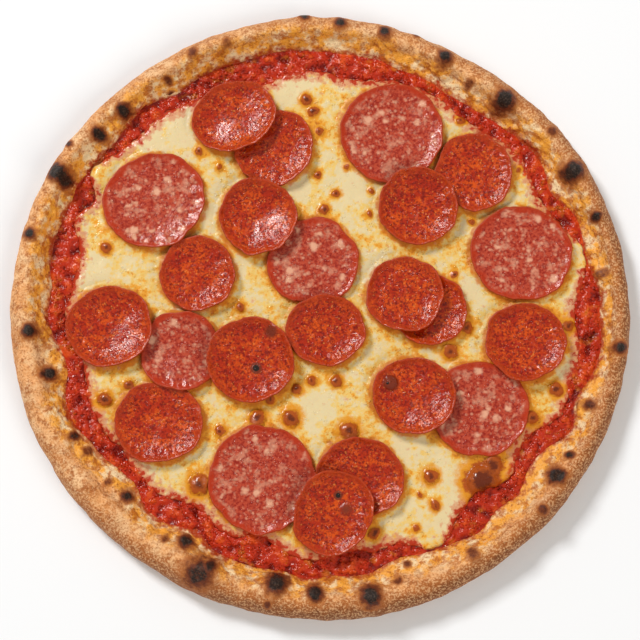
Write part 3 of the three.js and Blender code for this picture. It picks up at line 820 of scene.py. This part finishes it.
milk = np.zeros_like(x)
for pool_x, pool_y, pool_radius in MILK_POOLS:
    away = np.hypot(x - pool_x, y - pool_y) / pool_radius
    milk = np.maximum(milk, 1 - MILK_FALL * away ** 2)
milk = np.clip(milk + MILK_UNEVENNESS * lumps(flat, 8.0, 50), 0, 1) * fade(to_edge, 0, 5)
strayed_x = x + BUBBLE_STRAY * lumps(flat, 3.2, 51)
strayed_y = y + BUBBLE_STRAY * lumps(flat, 3.2, 52)
brown = np.full(x.shape, UNBAKED)
domes = np.zeros_like(x)
for middle_x, middle_y, radius, darkness in BUBBLES:
    away = np.hypot(strayed_x - middle_x, strayed_y - middle_y) / radius
    brown = np.maximum(brown, 1 - away - PALE_BROWN_LOSS * (1 - darkness))
    domes = np.maximum(domes, BUBBLE_RISE * radius * dome(away / BLISTER_FOOT))

z = height_map(cheese_solid, 132, 3.0, 2)(x, y)
z += relief(flat, CHEESE_LUMPS, 60) + relief(flat, FRIED_LUMPS, 70) * (1 - milk)
uneven = 1 + WELL_UNEVENNESS * lumps(flat, 6.0, 55)
z += WELL_HEIGHT * uneven * fade(to_slice, WELL_WIDTH, -1.0) + domes
rolled = dome(1 - np.clip(to_edge / CHEESE_ROLL, 0, 1))
edge_level = sauce_level - EDGE_SINK
z = edge_level + (z - edge_level) * (EDGE_THICKNESS + (1 - EDGE_THICKNESS) * rolled)
on_pulp = np.interp(grid_radius - core, (0, 8), (0, 1))
z += on_pulp * PULP_UNDER * (PULP_UNDER_EDGE + (1 - PULP_UNDER_EDGE) * rolled)
for each in slices.values():
    inward = each.inward(x, y)
    room = each.curl(inward) - SLICE_CLEARANCE
    for j, i in np.argwhere(inward > -SLICE_SURROUNDINGS):
        underneath = each.solid.ray_cast(Vector((x[j, i], y[j, i], 0)), up)[0]
        if underneath:
            z[j, i] = min(z[j, i], underneath.z + room[j, i])

across = CHEESE_CELLS + 1
number = np.arange(across * across).reshape(across, across)
faces = np.stack(
    [number[:-1, :-1], number[:-1, 1:], number[1:, 1:], number[1:, :-1]], axis=-1
).reshape(-1, 4).tolist()
rim_numbers = np.concatenate(
    [number[0, :-1], number[:-1, -1], number[-1, :0:-1], number[:0:-1, 0]]
)
bottom = cheese_bottom - SHEET_SINK
points = np.stack([x, y, z], axis=-1).reshape(-1, 3)
bottom_rim = points[rim_numbers] * (SHEET_UNDERCUT, SHEET_UNDERCUT, 0) + (0, 0, bottom)
points = np.concatenate([points, bottom_rim, [(0, 0, bottom)]]) * MM
count = len(rim_numbers)
below_rim = len(number) ** 2 + np.arange(count)
for k in range(count):
    after = (k + 1) % count
    faces.append((rim_numbers[after], rim_numbers[k], below_rim[k], below_rim[after]))
    faces.append((len(points) - 1, below_rim[after], below_rim[k]))
cheese_mesh = bpy.data.meshes.new("cheese_sheet")
cheese_mesh.from_pydata(points.tolist(), [], faces)
# Where the cheese runs right up to the dough, it doesn't turn thin and red at its edge.
bare_width = np.interp(direction, around, sauce_reach - cheese_reach, period=2 * math.pi)
hidden = np.zeros(count + 1)
cheese = shown_piece("cheese_sheet", cheese_mesh, {
    "to_edge": [to_edge + FAR_FROM_RED * (1 - fade(bare_width, 0.2, 1.2)), hidden],
    "to_slice": [to_slice, hidden],
    "milk": [milk, hidden],
    "brown": [brown, hidden + UNBAKED],
})

MILKY = (0.77, 0.635, 0.36, 1)
BUTTER = (0.82, 0.56, 0.16, 1)
FRIED = (0.8, 0.34, 0.022, 1)
FRECKLE = (0.46, 0.105, 0.006, 1)
FAT_ORANGE = (0.64, 0.18, 0.008, 1)
PINK = (0.68, 0.3, 0.16, 1)
SAUCE_RED = (0.48, 0.04, 0.012, 1)
BUBBLE_RING = (0.74, 0.3, 0.018, 1)
BUBBLE_BROWN = (0.42, 0.085, 0.01, 1)
BUBBLE_DARK = (0.15, 0.026, 0.008, 1)

cheese_material, n = new_material("melted_cheese")
milkiness = n.field("milk")
slice_near = n.field("to_slice")
freckles = n.clouds(1.8, 3, 0.65)
broad = n.clouds(8.0, 3, 0.55, 0.9)
blotches = n.clouds(3.4, 3, 0.6, 1.4)
heat = n.sway(n.sway(n.times(milkiness, -0.45), broad, 1.4), blotches, 1.5)
heat = n.sway(n.plus(heat, n.ramp(slice_near, 6.0, 0.0, -0.06, 0.3)), freckles, 0.7)
heat = n.plus(heat, n.ramp(n.field("brown"), -2.4, -0.6, 0.0, 0.2))
colour = n.coats(
    MILKY, (BUTTER, heat, -0.3, 0.05), (FRIED, heat, 0.02, 0.3, 0.95),
    (FRECKLE, heat, 0.32, 0.6, 0.7),
)
dotted = n.times(n.ramp(freckles, 0.58, 0.7, 0, 0.4), n.ramp(heat, 0.0, 0.2))
colour = n.blend(dotted, colour, FRECKLE)
fringe = n.sway(n.ramp(slice_near, 4.0, 0.2), n.clouds(4.0, 3, 0.6, 2.2), 1.9)

thin = n.sway(n.ramp(n.field("to_edge"), 9.0, 0.0), n.clouds(3.0, 3, 0.6, 4.0), 2.2)

toasted = n.sway(n.sway(n.field("brown"), freckles, 0.7), n.clouds(3.2, 3, 0.6, 5.1), 0.8)
colour = n.coats(
    colour, (FAT_ORANGE, fringe, 0.35, 1.0, 0.9), (PINK, thin, 0.2, 0.65, 0.85),
    (SAUCE_RED, thin, 0.65, 1.0), (BUBBLE_RING, toasted, -1.2, -0.3),
    (BUBBLE_BROWN, toasted, -0.35, 0.05), (BUBBLE_DARK, toasted, 0.3, 0.75),
)
oil = n.oil_beads(1.2, 0.42)
height = n.math("MULTIPLY_ADD", n.clouds(2.6, 2, 0.5, 0.6), 1.2, oil["Height"])
normal = n.bump(n.times(height, n.ramp(milkiness, 0.2, 0.8, 1.0, 0.45)), 0.4, 0.8)
roughness = n.plus(oil["Roughness"], n.ramp(slice_near, 4.5, 2.0, 0.0, 0.3))
finish_material(
    n, colour, roughness, normal, Specular_IOR_Level=0.35,
    Subsurface_Weight=0.1, Subsurface_Scale=0.002, Subsurface_Radius=(1.0, 0.6, 0.3),
)
cheese.data.materials.append(cheese_material)
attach(cheese, "root")
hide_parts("cheese")

# ---- Pepperoni and salami slices --------------------
# Thin rounds cut across two cured sausages, laid on the cheese before baking. The small
# pepperoni is finely ground and cups up where its casing shrank. The large salami lies flatter,
# and its fat shows as pale flecks and grains.

SLICE_AROUND = 180  # divisions round a slice
TOP_SHARES = 1 - 0.97 * (1 - np.linspace(0.03, 1, 34)) ** 1.35  # closer near the rim
BOTTOM_SHARES = np.linspace(0.97, 0.1, 10)
EDGE_TURNS = np.linspace(0.15, 0.85, 5) * math.pi  # half a turn round the cut edge
EDGE_BULGE = 0.35  # how far the cut edge bulges out
OUTLINE_MARGIN = 0.2  # how far the slice reaches past its solid
READ_SHARE = 0.975  # the furthest out that heights are read, inside the solid's edge
SLICE_GIVE = 0.3  # the most that a slice gives way under another
MEAT_MIDDLE = 20.0  # distance from the edge that is kept at the middle
OUTLINE_RAGGEDNESS = ((10.0, 1.3), (4.0, 0.45), (1.5, 0.2))
LIP_WIDTH = {"pepperoni": 1.1, "salami": 0.9}
LIP_HEIGHT = {"pepperoni": 0.5, "salami": 0.35}
LIP_PLACE = 0.3  # how far the top of the lip lies in from the edge
LIP_UNEVENNESS = 0.7
FACE_RELIEF = {
    "pepperoni": ((8.0, 0.35), (3.4, 0.12)),
    "salami": ((12.0, 0.4), (4.5, 0.15)),
}
# Where the meat shrank, inside the rim, it is pleated across the slope.
WRINKLES = {"pepperoni": ((3.4, 0.35), (1.7, 0.35)), "salami": ((3.4, 0.4), (1.6, 0.3))}
PLEAT_SHARE = 0.5  # 0 gives straight pleats, and 1 gives lumps

# Blisters and scorched specks: x, y, radius, how high each stands, and how dark it baked.
BURNT_SPOTS = {
    "pepperoni_14": ((34.0, -34.2, 3.7, 2.2, 0.7), (32.4, -34.6, 1.6, 0.2, 1.2)),
    "pepperoni_07": ((-30.8, -27.0, 2.6, 0.2, 1.6), (-23.6, -9.5, 3.0, 0.4, 0.5)),
    "pepperoni_16": ((8.6, -88.4, 2.0, 0.3, 1.6), (12.5, -95.0, 3.0, 0.6, 0.3)),
}


def slice_piece(name):
    """A slice with a lip along its casing and a wrinkled face, over its smoothed solid."""
    kind = name.split("_")[0]
    base = slices[name]
    others = solid_of(*(other for other in slice_nodes if other != name))
    pattern = 100 + 3 * slice_nodes.index(name)
    turns = np.linspace(0, 2 * math.pi, SLICE_AROUND, endpoint=False)
    ways = np.stack([np.cos(turns), np.sin(turns)], axis=1)
    outline = np.interp(turns, base.angles, base.radii, period=2 * math.pi)
    edge_points = np.column_stack([base.middle + outline[:, None] * ways, np.zeros(SLICE_AROUND)])
    ragged = outline + relief(edge_points, OUTLINE_RAGGEDNESS, pattern) + OUTLINE_MARGIN

    def surface(share, start, way):
        """Heights of the solid on a ring, met from a height and in a direction."""
        spots = base.middle + min(share, READ_SHARE) * outline[:, None] * ways
        hits = [base.solid.ray_cast(Vector((*spot, start)), way)[0] for spot in spots]
        return np.array([hit.z for hit in hits])

    def ring(share, heights, pushed_out=0.0):
        spots = base.middle + (share * ragged + pushed_out)[:, None] * ways
        return np.column_stack([spots, heights])

    def keep_under(points, solid_tops):
        """Lowers the points that would come up through a slice lying on this one."""
        for point, lowest in zip(points, solid_tops - SLICE_GIVE):
            above = others.ray_cast(Vector((point[0], point[1], lowest)), up)[0]
            if above:
                point[2] = min(point[2], max(above.z - SLICE_CLEARANCE, lowest))

    def curl(share):
        return base.curl((1 - share) * ragged)

    rings = []
    from_edge = []
    burnt = []
    for share in TOP_SHARES:
        inward = (1 - share) * ragged
        solid_tops = surface(share, OVERHEAD, down)
        points = ring(share, solid_tops + curl(share))
        lip = LIP_HEIGHT[kind] * np.exp(-((inward - LIP_PLACE) / LIP_WIDTH[kind]) ** 2)
        lip = lip * (1 + LIP_UNEVENNESS * lumps(points, 4.0, pattern + 2))
        shrunk = fade(inward, 7.5, 4.5) * fade(inward, 0.3, 1.8)
        points[:, 2] += relief(points, FACE_RELIEF[kind], pattern) * fade(inward, -0.5, 2.0)
        pleats = edge_points + PLEAT_SHARE * (points - edge_points)
        points[:, 2] += relief(pleats, WRINKLES[kind], pattern + 1) * shrunk + lip
        char = np.full(SLICE_AROUND, UNBAKED)
        for spot_x, spot_y, radius, rise, darkness in BURNT_SPOTS.get(name, ()):
            away = np.hypot(points[:, 0] - spot_x, points[:, 1] - spot_y) / radius
            char = np.maximum(char, darkness * (BLISTER_FOOT - away))
            points[:, 2] += rise * dome(away)
        keep_under(points, solid_tops)
        rings.append(points)
        from_edge.append(inward)
        burnt.append(char)
    edge_top = rings[-1][:, 2]
    edge_bottom = surface(BOTTOM_SHARES[0], UNDERFOOT, up) + curl(BOTTOM_SHARES[0])
    half_height = (edge_top - edge_bottom) / 2
    for turn in EDGE_TURNS:
        heights = (edge_top + edge_bottom) / 2 + half_height * math.cos(turn)
        rings.append(ring(1.0, heights, EDGE_BULGE * math.sin(turn)))
    for share in BOTTOM_SHARES:
        rings.append(ring(share, surface(share, UNDERFOOT, up) + curl(share)))
    top = [rings[0].mean(axis=0, keepdims=True)]
    bottom = [rings[-1].mean(axis=0, keepdims=True)]
    below = np.zeros((len(rings) - len(burnt)) * SLICE_AROUND + 1)
    return closed_rings(name + "_slice", top + rings + bottom, {
        "from_edge": [MEAT_MIDDLE] + from_edge + [below],
        "burnt": [UNBAKED] + burnt + [below + UNBAKED],
    })


MEAT = (0.42, 0.02, 0.001, 1)
DARK_MEAT = (0.17, 0.004, 0.001, 1)
ORANGE_MEAT = (0.66, 0.08, 0.002, 1)
SPECK = (0.8, 0.28, 0.05, 1)
RED_BAND = (0.5, 0.045, 0.002, 1)
CASING = (0.42, 0.04, 0.004, 1)
BURNT_MEAT = (0.19, 0.026, 0.008, 1)

pepperoni_material, n = new_material("pepperoni")
from_edge = n.field("from_edge")
oil = n.oil_beads(1.0, 0.46)
fine_grain = n.clouds(1.3, 3, 0.65)
ground = n.sway(n.sway(0.5, n.clouds(7.0, 2, 0.5, 0.6), 1.0), n.clouds(2.8, 4, 0.75, 0.4), 1.8)
colour = n.coats(MEAT, (ORANGE_MEAT, ground, 0.34, 0.8), (DARK_MEAT, fine_grain, 0.53, 0.39, 0.85))
speckled = n.ramp(n.clouds(3.0, 2, 0.5, 1.9), 0.45, 0.6, 0, 0.55)
colour = n.blend(n.times(n.ramp(n.cells(1.7), 0.32, 0.16), speckled), colour, SPECK)
burnt = n.sway(n.field("burnt"), fine_grain, 0.6)
colour = n.coats(
    colour, (RED_BAND, n.sway(from_edge, fine_grain, 1.4), 3.6, 1.2, 0.6),
    (CASING, n.sway(from_edge, fine_grain, 3.0), 0.7, 0.0),
    (BURNT_MEAT, burnt, -0.1, 0.3, 0.95), (CHARCOAL, burnt, 0.75, 1.0),
)
roughness = n.plus(oil["Roughness"], n.ramp(from_edge, 0.6, 0.0, 0.0, 0.2))
height = n.math("MULTIPLY_ADD", n.clouds(1.5, 3, 0.55, 2.9), 1.3, oil["Height"])
height = n.times(height, n.ramp(from_edge, 6.0, 10.0, 1.4, 0.75))
finish_material(n, colour, roughness, n.bump(height, 0.3, 0.8), Specular_IOR_Level=0.52)

SALAMI_MEAT = (0.5, 0.066, 0.029, 1)
SALAMI_DARK = (0.3, 0.016, 0.007, 1)
FAT = (0.8, 0.42, 0.27, 1)
SALAMI_RIM = (0.46, 0.03, 0.003, 1)

salami_material, n = new_material("salami")
from_edge = n.field("from_edge")
oil = n.oil_beads(1.2, 0.46)
colour = n.coats(
    SALAMI_DARK, (SALAMI_MEAT, n.clouds(1.4, 3, 0.65), 0.38, 0.6),
    (FAT, n.clouds(5.5, 4, 0.62, 4.1), 0.5, 0.66, 0.4),
)
grained = n.ramp(n.clouds(4.0, 2, 0.5, 1.2), 0.42, 0.56, 0, 0.5)
colour = n.blend(n.times(n.ramp(n.cells(2.4), 0.46, 0.1), grained), colour, FAT)
warped = n.sway(n.cells(6.5, 0.3), n.clouds(2.5, 3, 0.5, 0.7), 0.6)
flecked = n.ramp(n.clouds(9.0, 2, 0.5, 2.6), 0.44, 0.56, 0, 0.9)
colour = n.blend(n.times(n.ramp(warped, 0.44, 0.14), flecked), colour, FAT)
rim_band = n.sway(from_edge, n.clouds(2.0, 3, 0.6, 0.9), 2.5)
rim_band = n.sway(rim_band, n.clouds(7.0, 2, 0.5, 5.5), 5.0)
colour = n.coats(colour, (SALAMI_RIM, rim_band, 3.4, 1.0, 0.9), (CASING, from_edge, 0.6, 0.1))
roughness = n.plus(oil["Roughness"], n.ramp(from_edge, 0.8, 0.0, 0.0, 0.25))
height = n.math("MULTIPLY_ADD", n.clouds(1.6, 3, 0.6, 0.6), 1.0, oil["Height"])
finish_material(n, colour, roughness, n.bump(height, 0.3, 0.8), Specular_IOR_Level=0.44)
materials = {"pepperoni": pepperoni_material, "salami": salami_material}

for name in slice_nodes:
    kind = name.split("_")[0]
    sausage_slice = slice_piece(name)
    sausage_slice.data.materials.append(materials[kind])
    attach(sausage_slice, "root")
    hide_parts(name)

# ---- Floor, light and camera --------------------
# A plain pale surface, a light from the upper left that makes the wet parts glint, a weak soft
# one across from it, and a camera high above the pizza, leaning towards its lower edge.

VIEW_TILT = math.radians(8)
VIEW_DISTANCE = 1.1  # metres, as are the other lengths of this section
VIEW_AIM = Vector((0, -0.0034, 0.009))
VIEW_LENS = 127.9  # millimetres, on Blender's 36 mm wide sensor
FLOOR_HALF = 3.0
FLOOR_DROP = 0.0002  # keeps the floor clear of the dough
FLOOR_COLOUR = (0.91, 0.94, 0.98, 1)

floor_mesh = bpy.data.meshes.new("floor")
floor_corners = [
    (FLOOR_HALF * across, FLOOR_HALF * along, -FLOOR_DROP)
    for across, along in ((-1, -1), (1, -1), (1, 1), (-1, 1))
]
floor_mesh.from_pydata(floor_corners, [], [(0, 1, 2, 3)])
floor = new_object("floor", floor_mesh)
floor_material, n = new_material("pale_floor")
finish_material(n, FLOOR_COLOUR, 0.9)
floor_mesh.materials.append(floor_material)


def soft_light(name, place, size, power, colour, mirrored):
    """A square light that faces the middle of the pizza, and may be mirrored in wet surfaces."""
    data = bpy.data.lights.new(name, "AREA")
    data.size = size
    data.energy = power
    data.color = colour
    light = new_object(name, data)
    light.location = place
    light.rotation_euler = (-Vector(place)).to_track_quat("-Z", "Y").to_euler()
    light.visible_glossy = mirrored


soft_light("key", (-1.6, 1.75, 2.35), 0.75, power=79, colour=(1.0, 0.99, 0.97), mirrored=True)
soft_light("fill", (1.9, -1.7, 2.4), 2.0, power=52, colour=(1.0, 0.92, 0.82), mirrored=False)

world = bpy.data.worlds.new("studio")
world.use_nodes = True
world.node_tree.nodes["Background"].inputs["Color"].default_value = (1, 0.97, 0.93, 1)
world.node_tree.nodes["Background"].inputs["Strength"].default_value = 0.33
bpy.context.scene.world = world
bpy.context.scene.view_settings.view_transform = "Standard"

camera_data = bpy.data.cameras.new("camera")
camera_data.lens = VIEW_LENS
camera = new_object("camera", camera_data)
view_way = Vector((0, -math.sin(VIEW_TILT), math.cos(VIEW_TILT)))
camera.location = VIEW_AIM + VIEW_DISTANCE * view_way
camera.rotation_euler = (VIEW_TILT, 0, 0)
bpy.context.scene.camera = camera
